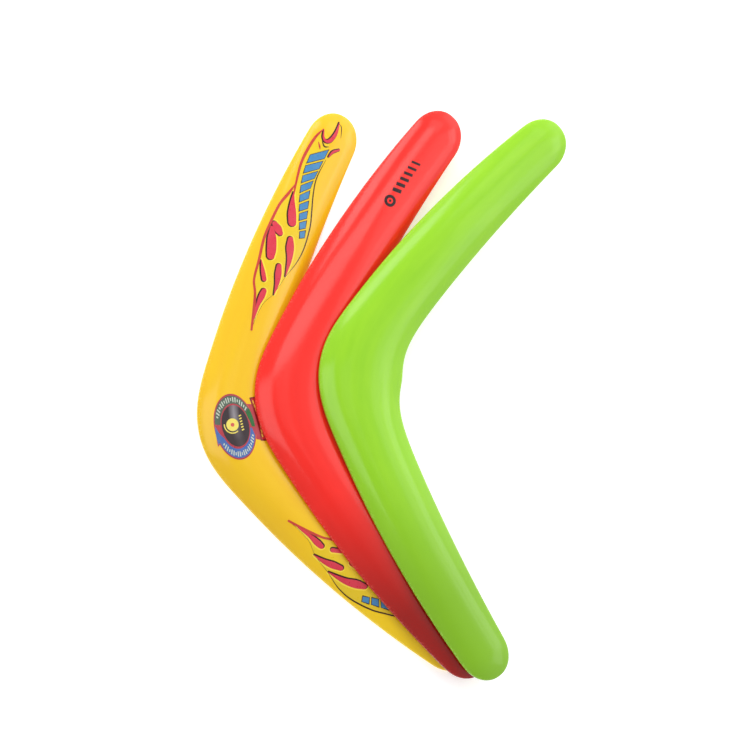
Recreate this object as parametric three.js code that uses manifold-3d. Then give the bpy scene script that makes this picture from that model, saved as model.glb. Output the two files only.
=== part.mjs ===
// Set of three V-shaped plastic boomerangs, all of one moulding, fanned one on another on a flat surface.
// Millimetres, +Z up. The origin is under the middle of the set, on the surface that it lies on.
//
// A place on a wing is given by s and n. s is the distance along the wing's centreline from the elbow:
// positive on the upper arm, negative on the lower arm. n is the distance sideways from the centreline:
// positive towards the inside of the V.

import * as THREE from 'three';
import { mergeVertices } from 'three/addons/utils/BufferGeometryUtils.js';
import Module from 'manifold-3d';

const wasm = await Module();
wasm.setup();

const radians = THREE.MathUtils.degToRad;

// ---- Driving dimensions -------------------------------------------------------------------------

const ARM_LENGTH = 212.9;            // along the centreline, from elbow to tip
const ELBOW_TURN = radians(28.9);    // how far each arm turns away within the elbow
const ELBOW_REACH = 29.7;            // length over which most of that turn happens
const ARM_SWEEP = radians(14);       // further gentle turn, spread over the whole arm
const HALF_WIDTH = 22.6;             // half of the arm's width near the elbow, without the bulge
const ELBOW_BULGE = 5.3;             // extra half-width at the elbow
const BULGE_REACH = 27.3;
const TIP_TAPER = 7.2;               // half-width lost between elbow and tip
const TIP_ROUNDING = 18.5;           // length of the rounded end
const TIP_POWER = 2.16;              // exponent of the rounded end: 2 would be half an ellipse

const RIM_HEIGHT = 1.7;              // upright edge all round
const CREST_HEIGHT = 7.8;            // thickest place, from the elbow to the middle of the arm
const TIP_CREST_HEIGHT = 4.8;        // crest where the tip starts to round off
const CREST_FALL_START = 95;         // distance along the arm where the crest starts to fall
const CROWN_POWER = 2.4;             // how square-shouldered the crown is: 2 would be a parabola

const WALL = 2.2;                    // side walls, and the skin under the crown
const RIB = 1.6;
const RIB_PITCH = 28;                // between cross ribs, along the centreline
const CROSS_RIBS_PER_ARM = 6;
const GATE_PAD_RADIUS = 8;           // flat pad under the elbow, where the plastic is fed in

const GAP = 0.3;                     // clearance between pieces that touch
const PRINT_THICKNESS = 0.5;
const LEVEL = CREST_HEIGHT + GAP;    // from one boomerang's underside to the next one's

// The fan: each elbow's centre and the direction that its V opens in, counter-clockwise from +X.
const FAN = {
  yellow: { elbow: [-90.6, -35.3], yaw: radians(13.8), level: 0 },
  red: { elbow: [-55.9, -17.1], yaw: radians(3.2), level: 1 },
  green: { elbow: [-16.2, -0.9], yaw: radians(-6.9), level: 2 },
};

// ---- Outline of the moulding --------------------------------------------------------------------

// Angle of the centreline at distance d from the elbow, from straight along the arm towards the inside.
function headingAt(d) {
  return ELBOW_TURN * Math.tanh(d / ELBOW_REACH) + ARM_SWEEP * d / ARM_LENGTH;
}

// Point of the centreline at s, summed in short straight steps from the elbow.
function centreAt(s) {
  const distance = Math.abs(s);
  const steps = Math.max(1, Math.ceil(distance));
  const step = distance / steps;
  const point = new THREE.Vector2();
  for (let i = 0; i < steps; i++) {
    const heading = headingAt((i + 0.5) * step);
    point.x += Math.sin(heading) * step;
    point.y += Math.cos(heading) * step;
  }
  point.y *= Math.sign(s);
  return point;
}

// Unit vector across the arm at s, towards the inside of the V.
function inwardAt(s) {
  const heading = headingAt(Math.abs(s));
  return new THREE.Vector2(Math.cos(heading), -Math.sin(heading) * Math.sign(s));
}

function planPoint(s, n) {
  return centreAt(s).addScaledVector(inwardAt(s), n);
}

// Half-width of the arm before its end is rounded.
function halfWidthAt(s) {
  const bulge = ELBOW_BULGE * Math.exp(-((s / BULGE_REACH) ** 2));
  return HALF_WIDTH + bulge - TIP_TAPER * (s / ARM_LENGTH) ** 2;
}

function crestAt(s) {
  const fall = THREE.MathUtils.smoothstep(Math.abs(s), CREST_FALL_START, ARM_LENGTH);
  return THREE.MathUtils.lerp(CREST_HEIGHT, TIP_CREST_HEIGHT, fall);
}

// Stations from the elbow to the tip of one arm. shrink is 1 along the arm and falls to 0 at the tip.
function armStations(inset, count, tipCount) {
  const length = ARM_LENGTH - inset;
  const straight = length - TIP_ROUNDING;
  const stations = [];
  for (let i = 0; i <= count; i++) {
    stations.push({ s: straight * i / count, shrink: 1 });
  }
  for (let i = 1; i <= tipCount; i++) {
    const angle = Math.PI / 2 * i / tipCount;
    const along = Math.sin(angle) ** (2 / TIP_POWER);
    const shrink = i === tipCount ? 0 : Math.cos(angle) ** (2 / TIP_POWER);
    stations.push({ s: straight + TIP_ROUNDING * along, shrink });
  }
  return stations;
}

// Both arms, from the lower tip to the upper tip.
function wingStations(inset, count, tipCount) {
  const upper = armStations(inset, count, tipCount);
  const lower = upper.slice(1).map(({ s, shrink }) => ({ s: -s, shrink }));
  return [...lower.reverse(), ...upper];
}

// ---- Solids -------------------------------------------------------------------------------------

// Closed skin through rings of the same number of points. The first and last ring have no area.
function skin(rings) {
  const around = rings[0].length;
  const positions = rings.flat().flatMap((point) => [point.x, point.y, point.z]);
  const index = [];
  for (let i = 0; i + 1 < rings.length; i++) {
    for (let j = 0; j < around; j++) {
      const next = (j + 1) % around;
      const a = i * around + j;
      const b = i * around + next;
      index.push(a, b + around, b, a, a + around, b + around);
    }
  }
  const geometry = new THREE.BufferGeometry();
  geometry.setAttribute('position', new THREE.Float32BufferAttribute(positions, 3));
  geometry.setIndex(index);
  return geometry;
}

// A geometry as a solid that can be joined and cut.
function toSolid(geometry) {
  const bare = geometry.clone();
  bare.deleteAttribute('normal');
  bare.deleteAttribute('uv');
  const merged = mergeVertices(bare, 1e-4);
  const corners = merged.index.array;
  const triVerts = [];
  for (let i = 0; i < corners.length; i += 3) {
    const [a, b, c] = corners.slice(i, i + 3);
    if (a !== b && b !== c && c !== a) {
      triVerts.push(a, b, c);
    }
  }
  return new wasm.Manifold(new wasm.Mesh({
    numProp: 3,
    vertProperties: new Float32Array(merged.getAttribute('position').array),
    triVerts: new Uint32Array(triVerts),
  }));
}

function toGeometry(solid) {
  const mesh = solid.getMesh();
  const geometry = new THREE.BufferGeometry();
  geometry.setAttribute('position', new THREE.Float32BufferAttribute(mesh.vertProperties, 3));
  geometry.setIndex(new THREE.BufferAttribute(mesh.triVerts, 1));
  geometry.computeVertexNormals();
  return geometry;
}

// Upright solid over a closed outline.
function prism(outline, bottom, top) {
  const geometry = new THREE.ExtrudeGeometry(new THREE.Shape(outline), {
    depth: top - bottom,
    bevelEnabled: false,
  });
  geometry.translate(0, 0, bottom);
  return toSolid(geometry);
}

// How far out a place is, from 0 on the crest line to 1 on the outline, all round the rounded tips.
function outness(u, shrink) {
  return (1 - shrink ** TIP_POWER * (1 - Math.abs(u) ** TIP_POWER)) ** (1 / TIP_POWER);
}

// Crowned wing shape. inset is how far its outline is drawn in, base its underside, edge the height of
// its upright side, and skinThickness how far its crest lies below the moulding's.
function crownedSolid({ inset, base, edge, skinThickness, across, count, tipCount }) {
  const rings = wingStations(inset, count, tipCount).map(({ s, shrink }) => {
    const width = (halfWidthAt(s) - inset) * shrink;
    const rise = crestAt(s) - skinThickness - edge;
    const at = (u, z) => {
      const point = planPoint(s, u * width);
      return new THREE.Vector3(point.x, point.y, z);
    };
    const crown = across.map((u) => at(u, edge + rise * (1 - outness(u, shrink) ** CROWN_POWER)));
    return [at(-1, base), at(1, base), ...crown.reverse()];
  });
  return toSolid(skin(rings));
}

const ACROSS_TOP = [-1, -0.85, -0.65, -0.35, 0, 0.35, 0.65, 0.85, 1];
const ACROSS_HOLLOW = [-1, -0.7, 0, 0.7, 1];

function outerSolid() {
  return crownedSolid({
    inset: 0,
    base: 0,
    edge: RIM_HEIGHT,
    skinThickness: 0,
    across: ACROSS_TOP,
    count: 22,
    tipCount: 5,
  });
}

// Space under the skin, open downwards.
function hollowSolid() {
  return crownedSolid({
    inset: WALL,
    base: -1,
    edge: RIM_HEIGHT - 0.5,
    skinThickness: WALL,
    across: ACROSS_HOLLOW,
    count: 14,
    tipCount: 3,
  });
}

// Long rib under the crest, following the centreline from tip to tip.
function spineRib() {
  const reach = ARM_LENGTH - WALL / 2;
  const stations = 24;
  const sideAt = (n) => Array.from({ length: stations + 1 }, (_, i) => {
    return planPoint(reach * (2 * i / stations - 1), n);
  });
  return prism([...sideAt(-RIB / 2), ...sideAt(RIB / 2).reverse()], -2, CREST_HEIGHT);
}

function crossRib(s) {
  const width = 2 * halfWidthAt(s);
  const geometry = new THREE.BoxGeometry(width, RIB, CREST_HEIGHT + 2);
  const inward = inwardAt(s);
  geometry.rotateZ(Math.atan2(inward.y, inward.x));
  const centre = centreAt(s);
  geometry.translate(centre.x, centre.y, CREST_HEIGHT / 2 - 1);
  return toSolid(geometry);
}

function gatePad() {
  const geometry = new THREE.CylinderGeometry(GATE_PAD_RADIUS, GATE_PAD_RADIUS, CREST_HEIGHT + 2, 16);
  geometry.rotateX(Math.PI / 2);
  geometry.translate(0, 0, CREST_HEIGHT / 2 - 1);
  return toSolid(geometry);
}

// The moulding: crowned top, thin skin, and ribs in the hollow that end flush with the rim.
function mouldedWing(outer) {
  let hollow = hollowSolid().subtract(spineRib()).subtract(gatePad());
  for (let i = -CROSS_RIBS_PER_ARM; i <= CROSS_RIBS_PER_ARM; i++) {
    hollow = hollow.subtract(crossRib(i * RIB_PITCH));
  }
  return outer.subtract(hollow);
}

// ---- Prints -------------------------------------------------------------------------------------

// Outlines of the prints. A print on an arm is drawn with a along the arm from the elbow, and r to the
// right for someone looking from the elbow to the tip, so both arms carry the same picture.

const FLAME_OUTLINE = [
  [60.5, -3], [73, -6.2], [82, -8.4], [92, -12.6], [107, -14], [122, -15.8], [138, -15.6],
  [150, -12.6], [157, -11], [165, -12.6], [176, -13.4], [189, -12], [198, -9], [193, -5.4],
  [193, -2], [199, -0.6], [207, -1.6], [203, 3], [193, 4.6], [182, 2.6], [170, 1.2], [157, 3.4],
  [146, 7.6], [132, 11.4], [118, 12], [104, 8.8], [90, 4.6], [78, 0.4],
];

const FLAME_SAMPLES = 76;                 // points of its drawn outline

// The lower arm's flame sits a little further out than the upper one's, and turned a little.
const LOWER_FLAME_SHIFT = [4.3, 6];
const LOWER_FLAME_PIVOT = 128;
const LOWER_FLAME_SLOPE = 0.11;

const BADGE_CENTRE = [-5.8, 0];           // from the elbow's centre
const BADGE_RADII = [13.2, 21];

const BANNER_CENTRE = [10.6, 1];
const BANNER_HALF_SIZE = [4.8, 14.5];
const BANNER_CORNER = 1.6;

const EMBLEM_PLACE = 141.5;               // along the red upper arm
const EMBLEM_RADIUS = 3.9;
const MARK_SIDE_SHIFT = -1.5;             // of the emblem and the bar, from the centreline
const WORD_BAR_START = 148;
const WORD_BAR_END = 175.5;
const WORD_BAR_HALF_WIDTH = 3.2;

// arm is +1 for the upper arm and -1 for the lower one.
function armPoint(arm, a, r) {
  return planPoint(arm * a, arm * r);
}

// Smooth closed outline through a few points given on an arm.
function armOutline(arm, places, samples) {
  const points = places.map(([a, r]) => armPoint(arm, a, r));
  const loop = new THREE.CatmullRomCurve3(
    points.map(({ x, y }) => new THREE.Vector3(x, y, 0)),
    true,
    'centripetal',
  );
  return loop.getPoints(samples).slice(0, -1).map(({ x, y }) => new THREE.Vector2(x, y));
}

function ovalOutline([x, y], [rx, ry], samples) {
  const curve = new THREE.EllipseCurve(x, y, rx, ry);
  return curve.getPoints(samples).slice(0, -1);
}

function roundedOutline([x, y], [halfX, halfY], corner) {
  const shape = new THREE.Shape();
  const insideX = halfX - corner;
  const insideY = halfY - corner;
  shape.absarc(x + insideX, y - insideY, corner, -Math.PI / 2, 0);
  shape.absarc(x + insideX, y + insideY, corner, 0, Math.PI / 2);
  shape.absarc(x - insideX, y + insideY, corner, Math.PI / 2, Math.PI);
  shape.absarc(x - insideX, y - insideY, corner, Math.PI, 1.5 * Math.PI);
  return shape.getPoints(4).slice(0, -1);
}

// The outline moved outwards by distance, whichever way round it runs.
function grown(outline, distance) {
  const side = Math.sign(THREE.ShapeUtils.area(outline)) * distance;
  return outline.map((point, i) => {
    const before = outline.at(i - 1);
    const after = outline[(i + 1) % outline.length];
    const along = after.clone().sub(before).normalize();
    return new THREE.Vector2(point.x + along.y * side, point.y - along.x * side);
  });
}

// A print lies flush with the crown, in a shallow seat that leaves a gap all round and below it.
function printFilm(outer, outline) {
  const lowered = outer.translate([0, 0, -PRINT_THICKNESS]);
  return outer.subtract(lowered).intersect(prism(outline, 0, 2 * CREST_HEIGHT));
}

function printSeat(outer, outline) {
  const lowered = outer.translate([0, 0, -PRINT_THICKNESS - GAP]);
  return prism(grown(outline, GAP), 0, 2 * CREST_HEIGHT).subtract(lowered);
}

// ---- Assembly -----------------------------------------------------------------------------------

const COLOURS = {
  yellow: '#fcd02e',
  red: '#ff4642',
  green: '#9bdc33',
  flame: '#d8404f',
  badge: '#4b4350',
  banner: '#b3262c',
  ink: '#3d0f12',
};

function namedMesh(name, solid, colour, roughness) {
  const material = new THREE.MeshStandardMaterial({ color: colour, roughness, metalness: 0 });
  const mesh = new THREE.Mesh(toGeometry(solid), material);
  mesh.name = name;
  return mesh;
}

// One boomerang of the fan, with prints: [{ name, outline, cut, colour }].
function boomerang(colourName, prints) {
  const outer = outerSolid();
  let wing = mouldedWing(outer);
  const group = new THREE.Group();
  for (const { name, outline, cut, colour } of prints) {
    let film = printFilm(outer, outline);
    if (cut) {
      film = film.subtract(prism(grown(cut, GAP), 0, 2 * CREST_HEIGHT));
    }
    wing = wing.subtract(printSeat(outer, outline));
    group.add(namedMesh(`${colourName}_${name}`, film, colour, 0.35));
  }
  group.add(namedMesh(`${colourName}_wing`, wing, COLOURS[colourName], 0.25));

  const { elbow, yaw, level } = FAN[colourName];
  group.position.set(elbow[0], elbow[1], level * LEVEL);
  group.rotation.z = yaw;
  return group;
}

function yellowPrints() {
  const flame = armOutline(1, FLAME_OUTLINE, FLAME_SAMPLES);
  const lowerPlaces = FLAME_OUTLINE.map(([a, r]) => [
    a + LOWER_FLAME_SHIFT[0],
    r + LOWER_FLAME_SHIFT[1] - LOWER_FLAME_SLOPE * (a - LOWER_FLAME_PIVOT),
  ]);
  const lowerFlame = armOutline(-1, lowerPlaces, FLAME_SAMPLES);
  const badge = ovalOutline(BADGE_CENTRE, BADGE_RADII, 32);
  const banner = roundedOutline(BANNER_CENTRE, BANNER_HALF_SIZE, BANNER_CORNER);
  return [
    { name: 'upper_flame_print', outline: flame, colour: COLOURS.flame },
    { name: 'lower_flame_print', outline: lowerFlame, colour: COLOURS.flame },
    { name: 'elbow_badge', outline: badge, colour: COLOURS.badge },
    { name: 'badge_banner', outline: banner, cut: badge, colour: COLOURS.banner },
  ];
}

function redPrints() {
  const centre = armPoint(1, EMBLEM_PLACE, MARK_SIDE_SHIFT);
  const emblem = ovalOutline([centre.x, centre.y], [EMBLEM_RADIUS, EMBLEM_RADIUS], 20);
  const bar = [
    [WORD_BAR_START, -WORD_BAR_HALF_WIDTH],
    [WORD_BAR_START, WORD_BAR_HALF_WIDTH],
    [WORD_BAR_END, WORD_BAR_HALF_WIDTH],
    [WORD_BAR_END, -WORD_BAR_HALF_WIDTH],
  ].map(([a, r]) => armPoint(1, a, MARK_SIDE_SHIFT + r));
  return [
    { name: 'arm_emblem', outline: emblem, colour: COLOURS.ink },
    { name: 'arm_word_bar', outline: bar, colour: COLOURS.ink },
  ];
}

function buildSet() {
  const set = new THREE.Group();
  set.add(boomerang('yellow', yellowPrints()), boomerang('red', redPrints()), boomerang('green', []));
  const box = new THREE.Box3().setFromObject(set, true);
  const centre = box.getCenter(new THREE.Vector3());
  set.position.set(-centre.x, -centre.y, -box.min.z);
  return set;
}

export default buildSet();
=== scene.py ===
"""Fanned set of three V-shaped plastic boomerangs: fine meshes, materials, studio and camera.

Each boomerang is one glossy moulding: a crowned skin with a rounded rim, hollow underneath, with ribs.
The prints are thin films of ink on the crown. The driving dimensions repeat the CAD model's.

A place on a wing is (s, n), in millimetres. s runs along the centreline from the elbow, positive on the
upper arm. n is the distance sideways from the centreline, positive towards the inside of the V.
Meshes are made in millimetres in a wing's own frame, then moved to the wing's place in metres.
"""

import math

import bmesh
import bpy
import numpy as np
from mathutils import Matrix, Vector


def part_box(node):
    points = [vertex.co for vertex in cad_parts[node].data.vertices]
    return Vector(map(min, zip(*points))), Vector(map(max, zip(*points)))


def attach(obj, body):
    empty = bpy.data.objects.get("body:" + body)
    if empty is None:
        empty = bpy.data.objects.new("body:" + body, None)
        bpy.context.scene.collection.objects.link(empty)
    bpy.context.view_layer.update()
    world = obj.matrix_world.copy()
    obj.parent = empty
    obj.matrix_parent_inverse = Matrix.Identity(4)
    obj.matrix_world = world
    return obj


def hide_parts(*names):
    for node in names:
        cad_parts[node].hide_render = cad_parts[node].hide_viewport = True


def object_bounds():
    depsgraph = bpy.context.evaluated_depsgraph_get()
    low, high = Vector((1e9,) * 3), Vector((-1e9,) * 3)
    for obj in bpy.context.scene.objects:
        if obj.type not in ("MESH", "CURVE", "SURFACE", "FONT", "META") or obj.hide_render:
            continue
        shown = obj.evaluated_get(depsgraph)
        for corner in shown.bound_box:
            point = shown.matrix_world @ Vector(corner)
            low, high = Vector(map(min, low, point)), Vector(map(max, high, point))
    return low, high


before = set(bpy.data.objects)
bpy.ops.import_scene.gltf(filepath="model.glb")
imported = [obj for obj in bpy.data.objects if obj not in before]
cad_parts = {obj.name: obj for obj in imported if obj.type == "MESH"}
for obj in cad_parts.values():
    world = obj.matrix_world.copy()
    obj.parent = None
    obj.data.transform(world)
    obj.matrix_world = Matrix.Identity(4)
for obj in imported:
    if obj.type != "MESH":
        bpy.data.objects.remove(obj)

CAD_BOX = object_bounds()
MM = 0.001

# ---- Moulding, in millimetres ------------------------------------------------

ARM_LENGTH = 212.9                       # along the centreline, from elbow to tip
ELBOW_TURN = math.radians(28.9)          # how far each arm turns away within the elbow
ELBOW_REACH = 29.7                       # length over which most of that turn happens
ARM_SWEEP = math.radians(14)             # further gentle turn, spread over the whole arm
HALF_WIDTH = 22.6                        # of the arm near the elbow, without the bulge
ELBOW_BULGE = 5.3                        # extra half width at the elbow
BULGE_REACH = 27.3
TIP_TAPER = 7.2                          # half width lost between elbow and tip
TIP_ROUNDING = 18.5                      # length of the rounded end
TIP_POWER = 2.16                         # of the rounded end's curve: 2 would be half an ellipse
STRAIGHT = ARM_LENGTH - TIP_ROUNDING     # where the rounded end starts

RIM_HEIGHT = 1.7                         # upright edge all round
CREST_HEIGHT = 7.8
TIP_CREST_HEIGHT = 4.8
CREST_FALL_START = 95                    # distance along the arm where the crest starts to fall
CROWN_POWER = 2.4                        # how square-shouldered the crown is: 2 would be a parabola
EDGE_ROUND = 0.6                         # rounding between the upright rim and the crown
FOOT_ROUND = 0.3                         # rounding between the upright rim and the underside

WALL = 2.2                               # side walls, and the skin under the crown
ROOF_SHARE = 1 - WALL / HALF_WIDTH       # how far out the hollow reaches, as a share of the outline
INNER_EDGE = 1.2                         # height at which the hollow's side wall turns into its roof
RIB = 1.6
RIB_PITCH = 28                           # between cross ribs, along the centreline
CROSS_RIBS_PER_ARM = 6
RIB_FOOT = 0.15                          # the ribs stop this far above the rim's underside
GATE_PAD_RADIUS = 8                      # pad under the elbow, where the plastic was fed in
GATE_PAD_EDGE = 0.3                      # bevel round the pad; the stub of the gate ends at this height
GATE_DIMPLE_DEPTH = 0.7
GATE_DIMPLE_RADII = (2.2, 2.6)           # of the dimple's floor and of its mouth
GATE_STUB_RADII = (0.7, 0.9)             # of the stub's end and of its foot

# The direction in which each V opens, counter-clockwise from +X.
YAW = {
    "yellow": math.radians(13.8),
    "red": math.radians(3.2),
    "green": math.radians(-6.9),
}

# ---- Fineness of the meshes --------------------------------------------------

CENTRELINE_STEP = 0.25
SIDE_STEPS = 170                         # along each long side
TIP_STEPS = 30                           # round each tip
CROWN_RINGS = 22
ROUND_RINGS = 5
ROOF_RINGS = 8
SPINE_STEPS = 120
CROSS_RIB_STEPS = 24
GATE_STEPS = 48
MERGE_DISTANCE = 1e-4
SHARP_ANGLE = math.radians(35)           # edges sharper than this are not shaded smooth

PRINT_STEP = 1.0                         # longest edge in a print, so that it follows the crown
CAP_STEPS = 5                            # round each half of a brush stroke's end
LEAST_OVAL_ROWS = 16
LEAST_OVAL_COLUMNS = 4


# ---- Shape of a wing ---------------------------------------------------------

def heading_at(distance):
    """Angle between the centreline and +Y: it turns fast round the elbow, then slowly along the arm."""
    return ELBOW_TURN * np.tanh(distance / ELBOW_REACH) + ARM_SWEEP * distance / ARM_LENGTH


def centreline():
    """Distances from the elbow, and the centreline's x and y there, summed in short straight steps."""
    step = CENTRELINE_STEP
    distances = np.arange(0, ARM_LENGTH + 2 * step, step)
    headings = heading_at(distances[:-1] + step / 2)
    x = np.concatenate([[0], np.cumsum(np.sin(headings)) * step])
    y = np.concatenate([[0], np.cumsum(np.cos(headings)) * step])
    return distances, x, y


DISTANCES, CENTRE_X, CENTRE_Y = centreline()


def plan_point(s, n):
    """The x and y of a place, in the wing's own frame."""
    distance = np.abs(s)
    heading = heading_at(distance)
    x = np.interp(distance, DISTANCES, CENTRE_X) + np.cos(heading) * n
    y = np.interp(distance, DISTANCES, CENTRE_Y) - np.sin(heading) * n
    return x, np.where(s < 0, -y, y)


def place_of(x, y):
    """The (s, n) of points of the plan, from the nearest point of the centreline."""
    squares = (x[..., None] - CENTRE_X) ** 2 + (np.abs(y)[..., None] - CENTRE_Y) ** 2
    nearest = np.argmin(squares, axis=-1)
    heading = heading_at(DISTANCES[nearest])
    gap_x = x - CENTRE_X[nearest]
    gap_y = np.abs(y) - CENTRE_Y[nearest]
    along = gap_x * np.sin(heading) + gap_y * np.cos(heading)
    inward = gap_x * np.cos(heading) - gap_y * np.sin(heading)
    distance = np.maximum(DISTANCES[nearest] + along, 0)
    return np.where(y < 0, -distance, distance), inward


def half_width_at(s):
    """Half width of the arm, without the rounding of its tip."""
    bulge = ELBOW_BULGE * np.exp(-((s / BULGE_REACH) ** 2))
    return HALF_WIDTH + bulge - TIP_TAPER * (s / ARM_LENGTH) ** 2


def smoothstep(value, start, end):
    """0 before start and 1 after end, with a smooth rise in between."""
    t = np.clip((value - start) / (end - start), 0, 1)
    return t * t * (3 - 2 * t)


def crest_at(s):
    """Height of the crest line."""
    fall = smoothstep(np.abs(s), CREST_FALL_START, ARM_LENGTH)
    return CREST_HEIGHT + (TIP_CREST_HEIGHT - CREST_HEIGHT) * fall


def outness_at(s, n):
    """0 on the crest line and 1 on the outline, all round the rounded tips."""
    along = np.clip((np.abs(s) - STRAIGHT) / TIP_ROUNDING, 0, 1)
    across = np.abs(n) / half_width_at(s)
    return (along ** TIP_POWER + across ** TIP_POWER) ** (1 / TIP_POWER)


def top_height(s, outness):
    """Height of the crown, with its rounded edge."""
    crown = RIM_HEIGHT + (crest_at(s) - RIM_HEIGHT) * (1 - outness ** CROWN_POWER)
    inside = np.clip((1 - outness) * HALF_WIDTH / EDGE_ROUND, 0, 1)
    return crown - EDGE_ROUND * (1 - np.sqrt(1 - (1 - inside) ** 2))


def roof_height(s, outness):
    """Height of the hollow's roof."""
    share = np.clip(outness / ROOF_SHARE, 0, 1)
    return INNER_EDGE + (crest_at(s) - WALL - INNER_EDGE) * (1 - share ** CROWN_POWER)


# ---- Fine mesh of the moulding -----------------------------------------------

def outline_columns():
    """Places round the outline, counter-clockwise: where each starts from on the centreline, how far it
    goes past that along the arm, and how far across, both as shares of the outline's own reach."""
    side = np.linspace(-STRAIGHT, STRAIGHT, SIDE_STEPS + 1)
    angle = np.linspace(0, math.pi, TIP_STEPS + 1)[1:-1]
    past = np.sin(angle) ** (2 / TIP_POWER)
    across = np.sign(np.cos(angle)) * np.abs(np.cos(angle)) ** (2 / TIP_POWER)
    still = np.zeros_like(side)
    start = [side, np.full_like(past, STRAIGHT), side[::-1], np.full_like(past, -STRAIGHT)]
    beyond = [still, past, still, -past]
    sideways = [still + 1, across, still - 1, -across]
    return tuple(np.concatenate(parts) for parts in (start, beyond, sideways))


WEAR_START = 0.9                         # outness at which the crown's wear sets in
FOOT_WEAR = 0.7
INNER_WEAR = 0.3


def moulding_rings():
    """(outness, height function, wear) of each ring, from the crest over the rim into the hollow."""
    share = EDGE_ROUND / HALF_WIDTH
    foot = FOOT_ROUND / HALF_WIDTH
    rings = []
    for i in range(CROWN_RINGS + 1):
        level = i / CROWN_RINGS * (1 - share)
        rings.append((level, top_height, smoothstep(level, WEAR_START, 1)))
    for i in range(1, ROUND_RINGS + 1):
        level = 1 - share * (1 - math.cos(math.pi / 2 * (1 - i / ROUND_RINGS)))
        rings.append((level, top_height, 1))
    for i in range(ROUND_RINGS + 1):
        angle = math.pi / 2 * i / ROUND_RINGS
        height = FOOT_ROUND * (1 - math.sin(angle))
        level = 1 - foot * (1 - math.cos(angle))
        rings.append((level, lambda s, level, z=height: 0 * s + z, FOOT_WEAR))
    rings.append((ROOF_SHARE, lambda s, level: 0 * s, INNER_WEAR))
    for i in range(ROOF_RINGS + 1):
        rings.append((ROOF_SHARE * (1 - i / ROOF_RINGS), roof_height, 0))
    return rings


def mesh_from(name, vertices, faces, places, rims=None, inks=None):
    """A closed mesh in millimetres. Each vertex keeps its place on the wing and how near the rim it is,
    and each face its ink. Vertices that coincide are merged."""
    mesh = bpy.data.meshes.new(name)
    mesh.from_pydata([tuple(v) for v in vertices], [], faces)
    mesh.attributes.new("place", "FLOAT_VECTOR", "POINT")
    flat = np.column_stack([places, np.zeros(len(places))]).astype(np.float32)
    mesh.attributes["place"].data.foreach_set("vector", flat.ravel())
    if rims is not None:
        mesh.attributes.new("rim", "FLOAT", "POINT")
        mesh.attributes["rim"].data.foreach_set("value", np.asarray(rims, np.float32))
    if inks is not None:
        mesh.polygons.foreach_set("material_index", inks)
    bm = bmesh.new()
    bm.from_mesh(mesh)
    bmesh.ops.remove_doubles(bm, verts=bm.verts, dist=MERGE_DISTANCE)
    bmesh.ops.dissolve_degenerate(bm, edges=bm.edges, dist=MERGE_DISTANCE)
    bmesh.ops.recalc_face_normals(bm, faces=bm.faces)
    bm.to_mesh(mesh)
    bm.free()
    return mesh


def shell_mesh():
    """The moulding without its ribs: crown, rounded rim, foot and the roof of the hollow."""
    start, beyond, sideways = outline_columns()
    columns = len(start)
    vertices, places, rims = [], [], []
    for level, height, rim in moulding_rings():
        s = start + TIP_ROUNDING * beyond * level
        n = sideways * level * half_width_at(s)
        x, y = plan_point(s, n)
        vertices.append(np.column_stack([x, y, height(s, level)]))
        places.append(np.column_stack([s, n]))
        rims.append(np.full(columns, rim))
    faces = []
    for i in range(len(vertices) - 1):
        for j in range(columns):
            after = (j + 1) % columns
            low, high = i * columns, (i + 1) * columns
            faces.append((low + j, high + j, high + after, low + after))
    places, rims = np.concatenate(places), np.concatenate(rims)
    return mesh_from("shell", np.concatenate(vertices), faces, places, rims)


def rib_mesh(name, s, n, side_s, side_n):
    """A rib along the places (s, n), up to half way into the skin above. (side_s, side_n) leads from its
    middle to its side."""
    vertices, places = [], []
    for sign in (-1, 1):
        across_s = s + sign * side_s
        across_n = n + sign * side_n
        x, y = plan_point(across_s, across_n)
        outness = outness_at(s, n)
        top = (top_height(s, outness) + roof_height(s, outness)) / 2
        for height in (np.full_like(x, RIB_FOOT), top):
            vertices.append(np.column_stack([x, y, height]))
            places.append(np.column_stack([across_s, across_n]))
    count = len(s)
    loops = (0, 1, 3, 2)                 # round the rib's section
    faces = []
    for i in range(count - 1):
        for k in range(4):
            a, b = loops[k] * count + i, loops[(k + 1) % 4] * count + i
            faces.append((a, b, b + 1, a + 1))
    faces.append(tuple(k * count for k in loops))
    faces.append(tuple(k * count + count - 1 for k in reversed(loops)))
    return mesh_from(name, np.concatenate(vertices), faces, np.concatenate(places), np.zeros(4 * count))


def rib_meshes():
    """The rib along the centreline and the ribs across it."""
    reach = ARM_LENGTH - WALL / 2
    s = np.linspace(-reach, reach, SPINE_STEPS + 1)
    ribs = [rib_mesh("spine_rib", s, 0 * s, 0, RIB / 2)]
    for i in range(-CROSS_RIBS_PER_ARM, CROSS_RIBS_PER_ARM + 1):
        place = i * RIB_PITCH
        reach = half_width_at(place) - WALL / 2
        n = np.linspace(-reach, reach, CROSS_RIB_STEPS + 1)
        ribs.append(rib_mesh("cross_rib", np.full_like(n, place), n, RIB / 2, 0))
    return ribs


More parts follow.
